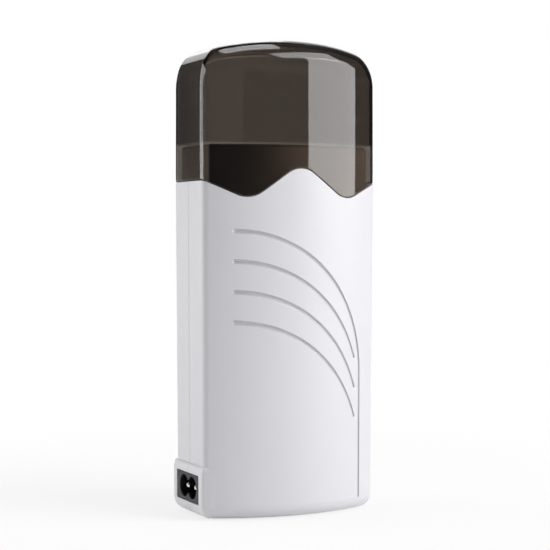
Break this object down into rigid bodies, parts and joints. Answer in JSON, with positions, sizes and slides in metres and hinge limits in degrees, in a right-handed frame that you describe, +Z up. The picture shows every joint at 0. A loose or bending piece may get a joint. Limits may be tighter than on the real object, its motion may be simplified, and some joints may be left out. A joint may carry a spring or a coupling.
{
  "type": "roll-on wax heater",
  "caption": "Upright white roll-on wax heater with a bowed front, curved grooves, a wavy top edge, a dark neck, a smoky lift-off cap and a mains inlet low on the left side.",
  "frame": {"origin": "middle of the flat base, on the surface the heater stands on", "axes": "+X towards the right side as seen from the front, -Y towards the front with the grooves, +Z up along the well; the mains inlet is in the left side, -X"},
  "size_m": [0.081, 0.0526, 0.2005],
  "materials": {
    "shell": "satin moulded",
    "cap": "polished, smoky see-through",
    "well": "moulded",
    "screws": "zinc plated",
    "spring_steel": "rolled",
    "plate": "milled",
    "pellets": "fired",
    "contacts": "stamped",
    "film": "film",
    "fuse": "fired",
    "inlet": "moulded",
    "pins": "nickel plated",
    "sleeves": "extruded",
    "lead_brown": "extruded",
    "lead_blue": "extruded",
    "lead_red": "extruded",
    "board": "laminate",
    "led": "clear tinted",
    "resistor": "painted",
    "lens": "clear tinted"
  },
  "bodies": {
    "housing": {"front_shell": "shell", "rear_shell": "shell", "shell_screws": "screws", "well": "well", "well_screws": "screws", "leaf_spring": "spring_steel", "spring_rivet": "spring_steel", "heating_plate": "plate", "heating_pellets": "pellets", "contact_strips": "contacts", "insulating_films": "film", "clamp_bar": "spring_steel", "clamp_screws": "screws", "thermal_fuse": "fuse", "fuse_clip": "contacts", "clip_screw": "screws", "inlet_housing": "inlet", "inlet_pins": "pins", "lead_sleeves": "sleeves", "live_lead": "lead_brown", "bridge_lead": "lead_brown", "neutral_lead": "lead_blue", "pilot_leads": "lead_red", "pilot_board": "board", "board_screws": "screws", "pilot_led": "led", "pilot_resistor": "resistor", "pilot_lens": "lens"},
    "cap": {"cap": "cap"}
  },
  "joints": [
    {"name": "cap_lift", "type": "slide", "parent": "housing", "child": "cap", "axis": [0, 0, 1], "range_m": [0, 0.07]}
  ]
}
